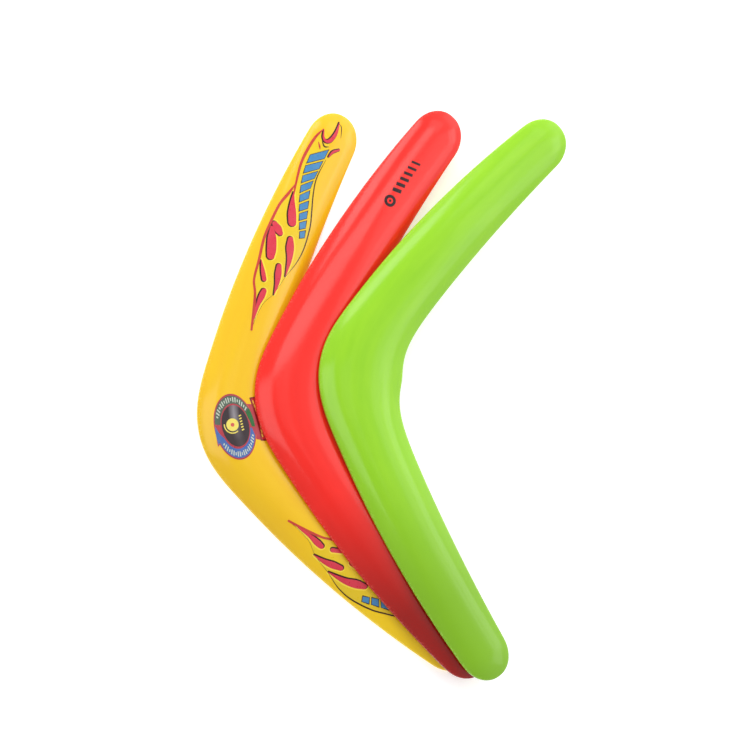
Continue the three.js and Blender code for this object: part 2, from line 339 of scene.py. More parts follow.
def gate_pad_mesh():
    """Round pad under the elbow, with a dimple and the stub of the gate in it."""
    stub_end, stub_foot = GATE_STUB_RADII
    dimple_floor, dimple_mouth = GATE_DIMPLE_RADII
    top = CREST_HEIGHT - WALL / 2        # half way into the skin
    profile = [
        (0, GATE_PAD_EDGE), (stub_end, GATE_PAD_EDGE), (stub_foot, GATE_DIMPLE_DEPTH),
        (dimple_floor, GATE_DIMPLE_DEPTH), (dimple_mouth, 0), (GATE_PAD_RADIUS - GATE_PAD_EDGE, 0),
        (GATE_PAD_RADIUS, GATE_PAD_EDGE), (GATE_PAD_RADIUS, top), (0, top),
    ]
    vertices = []
    for radius, height in profile:
        for i in range(GATE_STEPS):
            angle = 2 * math.pi * i / GATE_STEPS
            vertices.append((radius * math.cos(angle), radius * math.sin(angle), height))
    faces = []
    for ring in range(len(profile) - 1):
        for i in range(GATE_STEPS):
            a, b = ring * GATE_STEPS + i, ring * GATE_STEPS + (i + 1) % GATE_STEPS
            faces.append((a, b, b + GATE_STEPS, a + GATE_STEPS))
    places = np.array([(v[1], v[0]) for v in vertices])
    return mesh_from("gate_pad", vertices, faces, places, np.zeros(len(vertices)))


def moulding_mesh():
    """The whole moulding, made once and shared by the three boomerangs."""
    shell = bpy.data.objects.new("moulding", shell_mesh())
    bpy.context.scene.collection.objects.link(shell)
    parts = []
    for mesh in rib_meshes() + [gate_pad_mesh()]:
        part = bpy.data.objects.new(mesh.name, mesh)
        bpy.context.scene.collection.objects.link(part)
        parts.append(part)
        join = shell.modifiers.new(mesh.name, "BOOLEAN")
        join.operation = "UNION"
        join.solver = "MANIFOLD"
        join.object = part
    bpy.context.view_layer.update()
    graph = bpy.context.evaluated_depsgraph_get()
    joined = bpy.data.meshes.new_from_object(shell.evaluated_get(graph))
    joined.materials.clear()
    for part in [shell, *parts]:
        bpy.data.objects.remove(part)
    return joined


def wing_matrix(node, yaw):
    """From a wing's own frame to the shared frame. The turn is known, and the place is the CAD node's."""
    start, beyond, sideways = outline_columns()
    s = start + TIP_ROUNDING * beyond
    x, y = plan_point(s, sideways * half_width_at(s))
    turned_x = x * math.cos(yaw) - y * math.sin(yaw)
    turned_y = x * math.sin(yaw) + y * math.cos(yaw)
    own_x = (turned_x.min() + turned_x.max()) / 2
    own_y = (turned_y.min() + turned_y.max()) / 2
    low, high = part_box(node)
    centre = (low + high) / 2
    shift = Matrix.Translation((centre.x - own_x * MM, centre.y - own_y * MM, low.z))
    return shift @ Matrix.Rotation(yaw, 4, "Z") @ Matrix.Scale(MM, 4)


def add_piece(name, mesh, matrix, materials, body, slot, *nodes):
    """An object in the shared frame that rides on a body and stands for CAD nodes."""
    mesh.transform(matrix)
    for material in materials:
        mesh.materials.append(material)
    mesh.polygons.foreach_set("use_smooth", [True] * len(mesh.polygons))
    mesh.set_sharp_from_angle(angle=SHARP_ANGLE)
    piece = bpy.data.objects.new(name, mesh)
    bpy.context.scene.collection.objects.link(piece)
    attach(piece, body)
    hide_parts(*nodes)


# ---- Films of ink ------------------------------------------------------------

LAYER = 0.02                             # each coat of ink lies this much above the one before
SINK = 0.05                              # a film's hidden underside lies this far inside the plastic
LEAST_STROKE = 0.05                      # the half width of a brush stroke's finest end


def as_drawn(s, n):
    """For a print that is drawn in places on the wing."""
    return s, n


class Print:
    """A print in several inks: closed films that follow the crown, gathered into one mesh. It is drawn on
    grids of points, and place_on_wing turns those into places on the wing."""

    def __init__(self, place_on_wing):
        self.place_on_wing = place_on_wing
        self.vertices = []
        self.places = []
        self.faces = []
        self.inks = []
        self.lift = 0

    def film(self, grid, ink):
        """Adds a film over a grid. Films of one ink in a row are one coat, at one height."""
        if not self.inks or self.inks[-1] != ink:
            self.lift += LAYER
        s, n = self.place_on_wing(*grid)
        rows, columns = s.shape
        x, y = plan_point(s, n)
        crown = top_height(s, outness_at(s, n))
        first = len(self.vertices)
        for height in (crown + self.lift, crown - SINK):
            points = np.stack([x, y, height], axis=-1).reshape(-1, 3)
            self.vertices.extend(map(tuple, points))
            self.places.extend(zip(s.ravel(), n.ravel()))
        below = rows * columns
        index = first + np.arange(below).reshape(rows, columns)
        faces = []
        for i in range(rows - 1):
            for j in range(columns - 1):
                a, b, c, d = index[i, j], index[i + 1, j], index[i + 1, j + 1], index[i, j + 1]
                faces.append((a, b, c, d))
                faces.append((d + below, c + below, b + below, a + below))
        edge = [*index[0, :-1], *index[:-1, -1], *index[-1, :0:-1], *index[:0:-1, 0]]
        for k, a in enumerate(edge):
            b = edge[(k + 1) % len(edge)]
            faces.append((a, b, b + below, a + below))
        self.faces.extend(tuple(int(v) for v in face) for face in faces)
        self.inks.extend([ink] * len(faces))

    def mesh(self, name):
        """All its films in one mesh."""
        return mesh_from(name, self.vertices, self.faces, self.places, inks=self.inks)


def smooth_path(points):
    """A smooth path through rows of numbers that start with x and y, in about print steps."""
    points = np.asarray(points, float)
    padded = np.vstack([2 * points[0] - points[1], points, 2 * points[-1] - points[-2]])
    samples = []
    for p0, p1, p2, p3 in zip(padded, padded[1:], padded[2:], padded[3:]):
        count = max(2, math.ceil(np.linalg.norm((p2 - p1)[:2]) / PRINT_STEP))
        t = np.arange(count)[:, None] / count
        samples.append(0.5 * (2 * p1 + (p2 - p0) * t + (2 * p0 - 5 * p1 + 4 * p2 - p3) * t ** 2
                              + (3 * p1 - p0 - 3 * p2 + p3) * t ** 3))
    return np.vstack([*samples, points[-1:]])


def stroke_grid(points, grow=0, shift=(0, 0), flat=False):
    """Grid over a brush stroke given as (along, right, half width), with round or flat ends."""
    path = smooth_path(points)
    centre = path[:, :2] + np.asarray(shift)
    half = np.maximum(path[:, 2], LEAST_STROKE) + grow
    ahead = np.gradient(centre, axis=0)
    ahead /= np.linalg.norm(ahead, axis=1)[:, None]
    if not flat:
        angle = np.linspace(0, math.pi / 2, CAP_STEPS + 1)[1:]
        start = centre[0] - np.outer(half[0] * np.sin(angle)[::-1], ahead[0])
        end = centre[-1] + np.outer(half[-1] * np.sin(angle), ahead[-1])
        centre = np.vstack([start, centre, end])
        half = np.concatenate([half[0] * np.cos(angle)[::-1], half, half[-1] * np.cos(angle)])
        ahead = np.vstack([np.tile(ahead[0], (CAP_STEPS, 1)), ahead, np.tile(ahead[-1], (CAP_STEPS, 1))])
    sideways = np.column_stack([-ahead[:, 1], ahead[:, 0]])
    columns = max(2, math.ceil(2 * half.max() / PRINT_STEP)) + 1
    across = np.linspace(-1, 1, columns)
    grid = centre[:, None, :] + sideways[:, None, :] * (half[:, None] * across)[:, :, None]
    return grid[:, :, 0], grid[:, :, 1]


def even_path(points, count=None):
    """Even places on the smooth path through a few points, a print step apart or count in all."""
    path = smooth_path(points)
    length = np.concatenate([[0], np.cumsum(np.linalg.norm(np.diff(path, axis=0), axis=1))])
    even = np.linspace(0, length[-1], count or 1 + math.ceil(length[-1] / PRINT_STEP))
    return np.column_stack([np.interp(even, length, path[:, k]) for k in (0, 1)])


def between_grid(left, right):
    """Grid over the area between two smooth edges."""
    rows = max(len(even_path(left)), len(even_path(right)))
    left, right = even_path(left, rows), even_path(right, rows)
    columns = 2 + math.ceil(np.linalg.norm(left - right, axis=1).max() / PRINT_STEP)
    t = np.linspace(0, 1, columns)[None, :, None]
    grid = left[:, None, :] * (1 - t) + right[:, None, :] * t
    return grid[:, :, 0], grid[:, :, 1]


def oval_grid(centre, radii):
    """Grid over an oval."""
    rows = max(LEAST_OVAL_ROWS, math.ceil(math.pi * max(radii) / PRINT_STEP))
    columns = max(LEAST_OVAL_COLUMNS, math.ceil(2 * radii[0] / PRINT_STEP))
    angle = np.linspace(0, math.pi, rows)
    across = np.linspace(-1, 1, columns)
    x = centre[0] + radii[0] * np.sin(angle)[:, None] * across
    y = centre[1] + radii[1] * np.cos(angle)[:, None] + 0 * across
    return x, y


def arc_grid(centre, outer, inner, start, end, tapered_outer=None, tapered_inner=None):
    """Grid over part of an oval ring, which may change its radii towards its end. Angles are in
    degrees, counter-clockwise from +X."""
    steps = max(2, math.ceil(math.radians(abs(end - start)) * max(outer) / PRINT_STEP))
    angle = np.radians(np.linspace(start, end, steps + 1))[:, None]
    done = np.linspace(0, 1, steps + 1)[:, None]
    t = np.linspace(0, 1, max(2, math.ceil((outer[0] - inner[0]) / PRINT_STEP)) + 1)
    radii = []
    for k in (0, 1):
        far = outer[k] + ((tapered_outer or outer)[k] - outer[k]) * done
        near = inner[k] + ((tapered_inner or inner)[k] - inner[k]) * done
        radii.append(far + (near - far) * t)
    return centre[0] + radii[0] * np.cos(angle), centre[1] + radii[1] * np.sin(angle)


# ---- Flame print -------------------------------------------------------------
# Drawn as (along, right): along the arm from the elbow, and to the right for someone who looks from the
# elbow to the tip. On the upper arm that is (s, n). A stroke's third number is its half width.

# The flame's two edges, from its point near the elbow out to the tip of the arm.
FLAME_LEFT = [(61, -3), (73, -5.6), (83, -8.2), (91, -11.8), (103, -13.1), (120, -15), (136, -14.7),
              (150, -11.9), (157, -10.3), (164, -11.3), (173, -12.5), (184, -11.9), (198, -9)]
FLAME_RIGHT = [(61, -3), (70, -2.6), (79, -1), (88, 3.4), (101, 6.8), (112, 10.3), (123, 11.5),
               (137, 9.8), (147, 6.5), (158, 2.6), (168, 0.6), (180, 0.8), (193, -2)]

# The red line along the left edge, in two strokes.
FLAME_CONTOUR = [
    [(198, -9.2, 0.3), (191, -11.4, 0.8), (181, -12.4, 0.9), (172, -12.4, 0.8), (163, -11, 0.7),
     (157, -9.8, 0.6), (150, -8.3, 0.4)],
    [(157, -10.3, 0.4), (150, -11.9, 0.9), (142, -14, 0.8), (130, -14.8, 0.8), (118, -14.9, 0.8),
     (104, -13.1, 0.8), (91, -11.7, 0.7), (83, -8.3, 0.8), (73, -5.6, 0.9), (60.5, -3, 0.7)],
]

# The drops between the edges, from the tip of the arm towards the elbow.
FLAME_DROPS = [
    [(152.5, -9, 0.2), (147, -7.5, 1.3), (140, -4.9, 2.6), (134.5, -2.4, 2.6)],
    [(129, -12.2, 1.6), (126.5, -9, 2.4), (124.8, -6.8, 1.6)],
    [(126, -13, 1), (120, -10.6, 2.6), (113, -8.2, 2.9), (109, -7.2, 2.4)],
    [(124, 0.8, 1.8), (119, 2.6, 2.6), (112, 5, 1.7), (101, 6.6, 0.15)],
    [(105, 0.2, 1.6), (100, 1.6, 2.1), (94, 3, 1.3), (87, 3.6, 0.15)],
    [(104, -11.6, 0.2), (98, -8.4, 1.2), (93.5, -5.8, 1.4)],
    [(86.5, -3.3, 1.6), (83, -3.6, 1.9), (77, -4.1, 1.2), (68, -3.8, 0.5)],
]

# At the tip: a hook, a spur beside it and a barb behind it.
FLAME_HOOK = [(197.5, -8.6, 0.2), (193.5, -7, 0.6), (191.8, -4.4, 0.9), (194, -1.8, 1.2),
              (200, -0.8, 1), (207, -1.7, 0.15)]
FLAME_SPUR = [(184, 1.8, 0.3), (188, 3, 0.8), (191.3, 6, 0.5)]
FLAME_BARB = [(189, -8.4, 0.2), (186.8, -6.6, 0.6), (185.4, -5.6, 0.2)]

# Fine dark lines: along the right edge, inside the hook and behind it.
FLAME_SHADE_LINES = [
    [(181, 0.9, 0.1), (168, 0.5, 0.35), (158, 2.6, 0.4), (147, 6.5, 0.45), (137, 9.8, 0.45),
     (123, 11.5, 0.4), (112, 10.3, 0.25), (101, 6.8, 0.1), (88, 3.4, 0.08), (79, -1, 0.08),
     (70, -2.6, 0.08), (62, -3, 0.08)],
    [(206.5, -1.4, 0.1), (204.5, 1, 0.3), (198.5, 3.4, 0.1)],
    [(192, -7.6, 0.1), (188.3, -4, 0.5), (189.5, -1, 0.1)],
]

# The slanted bars fill the space between these two edges, widest and tallest near the tip.
BARS_LEFT = [(179, -9.4), (169, -8.8), (157, -6.2), (144.5, -1.6), (126, 6.8)]
BARS_RIGHT = [(187.5, -0.4), (177, -0.6), (160, -0.6), (148, 3), (127.5, 9.4)]
BAR_COUNT = 9
BAR_SHARE = 0.7                          # of the pitch that a bar takes, and the rest is the gap
BAR_THINNING = 0.9                       # below 1, the bars are thicker near the tip
BAR_PATH_PLACES = 401                    # how finely the bars' two edges are divided

INK_CRIMSON, INK_OUTLINE, INK_DARK, INK_OLIVE, INK_HALO, INK_BLUE = range(6)

SHADE_SHIFT = (-0.2, -0.45)              # the dark edge shows more on the left
SHADE_GROW = 0.5                         # how far a drop's dark edge reaches past it
HALO_GROW = 0.9                          # how far a drop's pale halo reaches past it
BAR_EDGE = 0.5                           # how far a bar's dark edge reaches past it

LOWER_FLAME_SHIFT = (4.3, 6.0)           # the lower arm's print sits further out, and leans a little
LOWER_FLAME_PIVOT = 128                  # along the arm, where the lean takes it to neither side
LOWER_FLAME_SLOPE = 0.11


def lower_flame_place(along, right):
    """The (s, n) of the flame's places on the lower arm."""
    slope = LOWER_FLAME_SLOPE * (along - LOWER_FLAME_PIVOT)
    return -(along + LOWER_FLAME_SHIFT[0]), -(right + LOWER_FLAME_SHIFT[1] - slope)


def bar_grids(grow):
    """Grids over the slanted bars, each grown on all sides. The bars get thinner away from the tip."""
    left, right = even_path(BARS_LEFT, BAR_PATH_PLACES), even_path(BARS_RIGHT, BAR_PATH_PLACES)
    sideways = (right - left) / np.linalg.norm(right - left, axis=1)[:, None]
    left, right = left - grow * sideways, right + grow * sideways
    grids = []
    for i in range(BAR_COUNT):
        first, last = [(share / BAR_COUNT) ** BAR_THINNING for share in (i, i + BAR_SHARE)]
        across = []
        for share, step in ((first, grow), (last, -grow)):
            index = round(share * (BAR_PATH_PLACES - 1))
            across.append([edge[index] + (step, 0) for edge in (left, right)])
        grids.append(between_grid(*across))
    return grids


def flame_print(place_on_wing):
    """A flame of red drops, with a row of slanted bars, a hooked tip and dark edges."""
    picture = Print(place_on_wing)
    picture.film(between_grid(FLAME_LEFT, FLAME_RIGHT), INK_OLIVE)
    for stroke in FLAME_DROPS:
        picture.film(stroke_grid(stroke, grow=HALO_GROW), INK_HALO)
    for stroke in FLAME_DROPS + [FLAME_HOOK, FLAME_SPUR]:
        picture.film(stroke_grid(stroke, grow=SHADE_GROW, shift=SHADE_SHIFT), INK_DARK)
    for grid in bar_grids(BAR_EDGE):
        picture.film(grid, INK_DARK)
    for stroke in FLAME_SHADE_LINES:
        picture.film(stroke_grid(stroke), INK_DARK)
    for stroke in FLAME_CONTOUR + [FLAME_BARB]:
        picture.film(stroke_grid(stroke), INK_OUTLINE)
    for stroke in FLAME_DROPS + [FLAME_HOOK, FLAME_SPUR]:
        picture.film(stroke_grid(stroke), INK_CRIMSON)
    for grid in bar_grids(0):
        picture.film(grid, INK_BLUE)
    return picture


# ---- Badge and banner on the yellow elbow ------------------------------------
# Drawn as (x, y) in the wing's own frame, whose origin is on the centreline at the elbow.

BADGE_CENTRE = (-5.8, 0)
BADGE_RADII = (13.2, 21)
BADGE_DISC_CENTRE = (-5.5, 0.5)
BADGE_DISC_RADII = (8.8, 13.2)
BAND_OUTER = 0.86                        # edges of the coloured bands, as shares of the way from the
BAND_INNER = 0.1                         # disc's edge to the badge's edge

BADGE_ROSE, BADGE_GREY_GREEN, BADGE_GREEN, BADGE_BLUE = range(4)
BADGE_FOIL, BADGE_YELLOW, BADGE_PALE, BADGE_RED = range(4, 8)

# Stretches of two arrows that chase each other round the disc. Each has its outer and its inner edge,
# both as shares at its start and at its end, then its start and end angle from +X, and its ink.
ARROWS = [
    ((1.35, 1), (0.5, 0.9), 205, 190, BADGE_ROSE),
    ((BAND_OUTER, BAND_OUTER), (BAND_INNER, BAND_INNER), 168, 24, BADGE_GREY_GREEN),
    ((BAND_OUTER + 0.08, BAND_OUTER + 0.08), (BAND_INNER, BAND_INNER + 0.35), 28, -7, BADGE_GREEN),
    ((BAND_INNER + 0.3, BAND_OUTER), (BAND_INNER, BAND_INNER), 350, 336, BADGE_BLUE),
    ((BAND_OUTER, BAND_OUTER), (BAND_INNER, BAND_INNER), 337, 202, BADGE_BLUE),
    ((1.15, BAND_OUTER), (BAND_INNER, BAND_OUTER - 0.05), 203, 172, BADGE_BLUE),
]
TICK_ROWS = [(152, 34, 17), (212, 334, 19)]    # start and end angle, and the number of ticks
TICK_HALF_ANGLE = 1.7
LONG_TICK = (0.74, 0.32)                 # outer and inner end, as shares
SHORT_TICK = (0.66, 0.42)
DISC_EDGE = 0.12                         # width of the line round the disc, as a share

EMBLEM_CENTRE = (-7.4, 1.6)
EMBLEM_DISC_RADIUS = 4.0
EMBLEM_DOT_RADIUS = 1.2
EMBLEM_ARC_RADII = (5.6, 4.9)            # outer and inner
EMBLEM_ARC_ANGLES = (165, 300)
EMBLEM_DASHES = 6
EMBLEM_DASH_FROM = (-2.2, 6)             # where the first dash starts
EMBLEM_DASH_REACH = (1.6, 0.4)           # from a dash's start to its end
EMBLEM_DASH_PITCH = 1.8
EMBLEM_DASH_HALF_WIDTH = 0.4


def ring_radii(share):
    """Radii of an oval between the disc's edge, at 0, and the badge's edge, at 1."""
    return tuple(a + (b - a) * share for a, b in zip(BADGE_DISC_RADII, BADGE_RADII))


def badge_print():
    """An oval badge: two arrows that chase each other round a dark disc with a plain round emblem."""
    picture = Print(place_of)

    def ring(outer, inner, start, end, ink):
        """Adds part of an oval ring, whose edges are shares at its start and at its end."""
        radii = [ring_radii(share) for share in (outer[0], inner[0], outer[1], inner[1])]
        picture.film(arc_grid(BADGE_CENTRE, radii[0], radii[1], start, end, radii[2], radii[3]), ink)

    picture.film(oval_grid(BADGE_CENTRE, BADGE_RADII), BADGE_ROSE)
    for stretch in ARROWS:
        ring(*stretch)
    for start, end, count in TICK_ROWS:
        for i, angle in enumerate(np.linspace(start, end, count)):
            outer, inner = LONG_TICK if i % 3 else SHORT_TICK
            first, last = angle - TICK_HALF_ANGLE, angle + TICK_HALF_ANGLE
            ring((outer, outer), (inner, inner), first, last, BADGE_PALE)
    picture.film(oval_grid(BADGE_DISC_CENTRE, ring_radii(DISC_EDGE)), BADGE_ROSE)
    picture.film(oval_grid(BADGE_DISC_CENTRE, BADGE_DISC_RADII), BADGE_FOIL)

    picture.film(oval_grid(EMBLEM_CENTRE, (EMBLEM_DISC_RADIUS,) * 2), BADGE_YELLOW)
    outer, inner = [(radius,) * 2 for radius in EMBLEM_ARC_RADII]
    picture.film(arc_grid(EMBLEM_CENTRE, outer, inner, *EMBLEM_ARC_ANGLES), BADGE_YELLOW)
    picture.film(oval_grid(EMBLEM_CENTRE, (EMBLEM_DOT_RADIUS,) * 2), BADGE_RED)
    for i in range(EMBLEM_DASHES):
        x, y = EMBLEM_DASH_FROM[0], EMBLEM_DASH_FROM[1] - EMBLEM_DASH_PITCH * i
        end_x, end_y = x + EMBLEM_DASH_REACH[0], y + EMBLEM_DASH_REACH[1]
        dash = [(x, y, EMBLEM_DASH_HALF_WIDTH), (end_x, end_y, EMBLEM_DASH_HALF_WIDTH)]
        picture.film(stroke_grid(dash, flat=True), BADGE_YELLOW)
    return picture


BANNER_LEFT = [(8, 15.4), (8.6, 11.5), (9.2, 7), (9.8, -1), (9.7, -6), (9.2, -11.6)]
BANNER_RIGHT = [(15.2, 15.2), (15.4, 8), (15.4, 1), (15.4, -6), (15.2, -13)]
BANNER_LINK = [(5, 12.4), (6.3, 8.4), (7.4, 0), (6.5, -8), (5.8, -10.4)]   # the badge's own edge
BANNER_EDGE = 0.5                        # half width of the dark line along its sides
BANNER_DASHES = 9
BANNER_DASH_INSET = 1.0
BANNER_DASH_LEAN = 0.2
BANNER_DASH_REACH = 0.8                  # half its length
BANNER_DASH_HALF_WIDTH = 0.38
BANNER_ROSE, BANNER_RED, BANNER_DARK, BANNER_YELLOW = range(4)


def banner_print():
    """A strip that joins the badge, with a row of dashes. Its far side lies under the red boomerang."""
    picture = Print(place_of)
    picture.film(between_grid(BANNER_LINK, BANNER_LEFT[1:]), BANNER_ROSE)
    picture.film(between_grid(BANNER_LEFT, BANNER_RIGHT), BANNER_RED)
    for line in (BANNER_LEFT, [BANNER_LEFT[0], BANNER_RIGHT[0]], [BANNER_LEFT[-1], BANNER_RIGHT[-1]]):
        picture.film(stroke_grid([(*place, BANNER_EDGE) for place in line]), BANNER_DARK)
    for x, y in even_path(BANNER_LEFT, BANNER_DASHES + 2)[1:-1]:
        x += BANNER_DASH_INSET
        top = (x, y + BANNER_DASH_REACH, BANNER_DASH_HALF_WIDTH)
        foot = (x + BANNER_DASH_LEAN, y - BANNER_DASH_REACH, BANNER_DASH_HALF_WIDTH)
        picture.film(stroke_grid([top, foot]), BANNER_YELLOW)
    return picture


# ---- Mark on the red arm -----------------------------------------------------

MARK_RING_PLACE = 141.5                  # along the arm
MARK_RING_RADII = ((3.9, 3.9), (1.95, 1.95))    # outer and inner
MARK_DOT_RADII = (0.858, 0.858)
MARK_SIDE_SHIFT = -1.5
MARK_BARS_START = 148.5
MARK_BARS_END = 175
MARK_BAR_COUNT = 6
MARK_BAR_HALF_HEIGHT = 2.9
MARK_BAR_LEAN = 0.9
MARK_BAR_HALF_SHARE = 0.28               # half width of the first bar, as a share of the pitch
MARK_BAR_THINNING = 0.08                 # how much of that each further bar loses
MARK_BAR_PLACE = 0.3                     # of a bar's middle, as a share of its pitch


def emblem_print():
    """A ring round a dot."""
    picture = Print(as_drawn)
    centre = (MARK_RING_PLACE, MARK_SIDE_SHIFT)
    for start in (0, 180):
        picture.film(arc_grid(centre, *MARK_RING_RADII, start, start + 180), 0)
    picture.film(oval_grid(centre, MARK_DOT_RADII), 0)
    return picture


def mark_bars_print():
    """A row of slanted bars, each a little thinner than the one before."""
    picture = Print(as_drawn)
    pitch = (MARK_BARS_END - MARK_BARS_START) / MARK_BAR_COUNT
    for i in range(MARK_BAR_COUNT):
        along = MARK_BARS_START + pitch * (i + MARK_BAR_PLACE)
        half = MARK_BAR_HALF_SHARE * pitch * (1 - MARK_BAR_THINNING * i)
        low, high = MARK_SIDE_SHIFT - MARK_BAR_HALF_HEIGHT, MARK_SIDE_SHIFT + MARK_BAR_HALF_HEIGHT
        bar = [(along - MARK_BAR_LEAN, low, half), (along + MARK_BAR_LEAN, high, half)]
        picture.film(stroke_grid(bar, flat=True), 0)
    return picture


# ---- Materials ---------------------------------------------------------------

def linear(red, green, blue):
    """An sRGB colour, 0 to 255, as the linear colour that a shader takes."""
    shares = [channel / 255 for channel in (red, green, blue)]
    return [c / 12.92 if c <= 0.04045 else ((c + 0.055) / 1.055) ** 2.4 for c in shares] + [1]


MIX_COLOUR_A, MIX_COLOUR_B, MIX_COLOUR_RESULT = 6, 7, 2    # a Mix node's sockets for colours


class Nodes:
    """The node tree of a new material or world. Its last node makes the surface or the light."""

    def __init__(self, owner, last="Principled BSDF"):
        owner.use_nodes = True
        self.owner = owner
        self.tree = owner.node_tree
        self.last = self.tree.nodes[last]

    def feed(self, node, inputs):
        """Gives inputs, by name or number, a plain value or another node's output."""
        for key, value in inputs.items():
            if isinstance(value, bpy.types.NodeSocket):
                self.tree.links.new(value, node.inputs[key])
            else:
                node.inputs[key].default_value = value

    def add(self, kind, inputs=None, **settings):
        """A new node."""
        node = self.tree.nodes.new("ShaderNode" + kind)
        for key, value in settings.items():
            setattr(node, key, value)
        self.feed(node, inputs or {})
        return node

    def noise(self, scale, detail=3, vector=None):
        """Noise in the object's own coordinates, or in those of a given vector."""
        if vector is None:
            vector = self.add("TexCoord").outputs["Object"]
        node = self.add("TexNoise", {"Vector": vector, "Scale": scale, "Detail": detail})
        return node.outputs["Fac"]

    def span(self, value, low, high, from_low=0.3, from_high=0.7):
        """The value mapped from one range, by default where most noise lies, to another and held in it."""
        ends = {"From Min": from_low, "From Max": from_high, "To Min": low, "To Max": high}
        return self.add("MapRange", {"Value": value, **ends}).outputs["Result"]

    def maths(self, operation, *values):
        """The outcome of an operation on values, each a number or a node's output."""
        return self.add("Math", dict(enumerate(values)), operation=operation).outputs["Value"]

    def mix(self, share, a, b):
        """Colour a, with a share of colour b."""
        node = self.add("Mix", {"Factor": share, MIX_COLOUR_A: a, MIX_COLOUR_B: b}, data_type="RGBA")
        return node.outputs[MIX_COLOUR_RESULT]

    def bump(self, height, distance, strength):
        """The normal of a skin that a height makes uneven."""
        node = self.add("Bump", {"Height": height, "Distance": distance, "Strength": strength})
        return node.outputs["Normal"]


FLOW_STRETCH = (0.02, 0.16, 1)           # the streaks' fineness along the arm and across it
PAINTED_TIP_SHADING_REACH = (-154, -64)               # where the painted light and shade towards the lower tip is full and where it is none, as places along the lower arm


def moulded_plastic(name, colour, deep, worn, painted_tip_shading):
    """Glossy polypropylene: faint flow streaks along the arm, a rippled skin, scuffs at the rim, and
    another colour towards the lower tip: painted shade where it is darker, painted light where it is
    lighter."""
    nodes = Nodes(bpy.data.materials.new(name))
    place = nodes.add("Attribute", attribute_name="place").outputs["Vector"]
    rim = nodes.add("Attribute", attribute_name="rim").outputs["Fac"]
    along = nodes.add("SeparateXYZ", {"Vector": place}).outputs["X"]
    stretched = nodes.add("Mapping", {"Vector": place, "Scale": FLOW_STRETCH}).outputs["Vector"]
    flow = nodes.noise(scale=1, detail=3, vector=stretched)
    mottle = nodes.noise(scale=60, detail=4)
    scuff = nodes.noise(scale=900, detail=6)
    gloss = nodes.noise(scale=35, detail=4)
    ripple = nodes.noise(scale=260, detail=2)

    base = nodes.mix(nodes.span(flow, low=0, high=0.3), linear(*colour), linear(*deep))
    base = nodes.mix(nodes.span(mottle, low=0, high=0.12), base, linear(*deep))
    # Painted light and shade: towards the lower tip the colour turns darker on the red and green mouldings
    # (painted shade) and lighter on the yellow one (painted light).
    base = nodes.mix(nodes.span(along, 1, 0, *PAINTED_TIP_SHADING_REACH), base, linear(*painted_tip_shading))
    scuffs = nodes.span(scuff, low=0, high=0.3, from_low=0.5, from_high=0.62)
    wear = nodes.maths("MULTIPLY", rim, scuffs)
    dulled = nodes.maths("MULTIPLY", wear, 0.4)
    nodes.feed(nodes.last, {
        "Base Color": nodes.mix(wear, base, linear(*worn)),
        "Roughness": nodes.maths("ADD", nodes.span(gloss, low=0.13, high=0.18), dulled),
        "Normal": nodes.bump(ripple, distance=0.03 * MM, strength=0.25),
        "IOR": 1.49,
        "Coat Weight": 0.25,
        "Coat Roughness": 0.12,
    })
    return nodes.owner


def printed_ink(name, colour, thin):
    """Screen ink, slightly uneven in colour and gloss, and thinner in small specks."""
    nodes = Nodes(bpy.data.materials.new(name))
    cloud = nodes.noise(scale=220, detail=4)
    specks = nodes.noise(scale=2600, detail=2)
    gloss = nodes.noise(scale=500, detail=3)
    grain = nodes.noise(scale=1500, detail=2)

    base = nodes.mix(nodes.span(cloud, low=0, high=0.35), linear(*colour), linear(*thin))
    thinned = nodes.span(specks, low=0, high=0.5, from_low=0.6, from_high=0.75)
    nodes.feed(nodes.last, {
        "Base Color": nodes.mix(thinned, base, linear(*thin)),
        "Roughness": nodes.span(gloss, low=0.26, high=0.38),
        "Normal": nodes.bump(grain, distance=0.02 * MM, strength=0.2),
        "Coat Weight": 0.2,
        "Coat Roughness": 0.15,
    })
    return nodes.owner


PAINTED_SHEEN_AT = -5.5                          # n of the middle of the foil's painted sheen
PAINTED_SHEEN_REACH = 3.6                        # how far the painted sheen spreads to each side
PAINTED_SHEEN_FADE = (-8, 6)                     # places along the wing between which it grows to the full


def foil_with_painted_sheen(name, dark, light):
    """Dark foil with one soft band of painted sheen, a lighter colour standing in for a reflection, along
    the wing; it fades towards the lower arm.
    """
    nodes = Nodes(bpy.data.materials.new(name))
    vector = nodes.add("Attribute", attribute_name="place").outputs["Vector"]
    place = nodes.add("SeparateXYZ", {"Vector": vector})
    cloud = nodes.noise(scale=90, detail=1)
    gloss = nodes.noise(scale=700, detail=3)
    grain = nodes.noise(scale=1800, detail=2)

    distance = nodes.maths("ABSOLUTE", nodes.maths("SUBTRACT", place.outputs["Y"], PAINTED_SHEEN_AT))
    band = nodes.span(distance, 1, 0, 0, PAINTED_SHEEN_REACH)
    fade = nodes.span(place.outputs["X"], 0.15, 1, *PAINTED_SHEEN_FADE)
    faded = nodes.maths("MULTIPLY", band, fade)
    # Painted sheen: a lighter colour mixes into the foil in a band that stands in for a reflection.
    sheen = nodes.maths("MULTIPLY", faded, nodes.span(cloud, low=0.6, high=1))
    nodes.feed(nodes.last, {
        "Base Color": nodes.mix(sheen, linear(*dark), linear(*light)),
        "Roughness": nodes.span(gloss, low=0.28, high=0.4),
        "Normal": nodes.bump(grain, distance=0.02 * MM, strength=0.2),
        "Metallic": 0.35,
    })
    return nodes.owner


def flame_inks():
    """In the order of the numbers INK_CRIMSON to INK_BLUE."""
    return [
        printed_ink("crimson_ink", (214, 45, 70), (228, 78, 92)),
        printed_ink("outline_ink", (196, 52, 44), (214, 92, 60)),
        printed_ink("dark_ink", (46, 4, 2), (84, 24, 10)),
        printed_ink("olive_ink", (232, 198, 24), (240, 204, 36)),
        printed_ink("halo_ink", (250, 222, 70), (248, 214, 58)),
        printed_ink("blue_ink", (62, 130, 186), (96, 156, 196)),
    ]


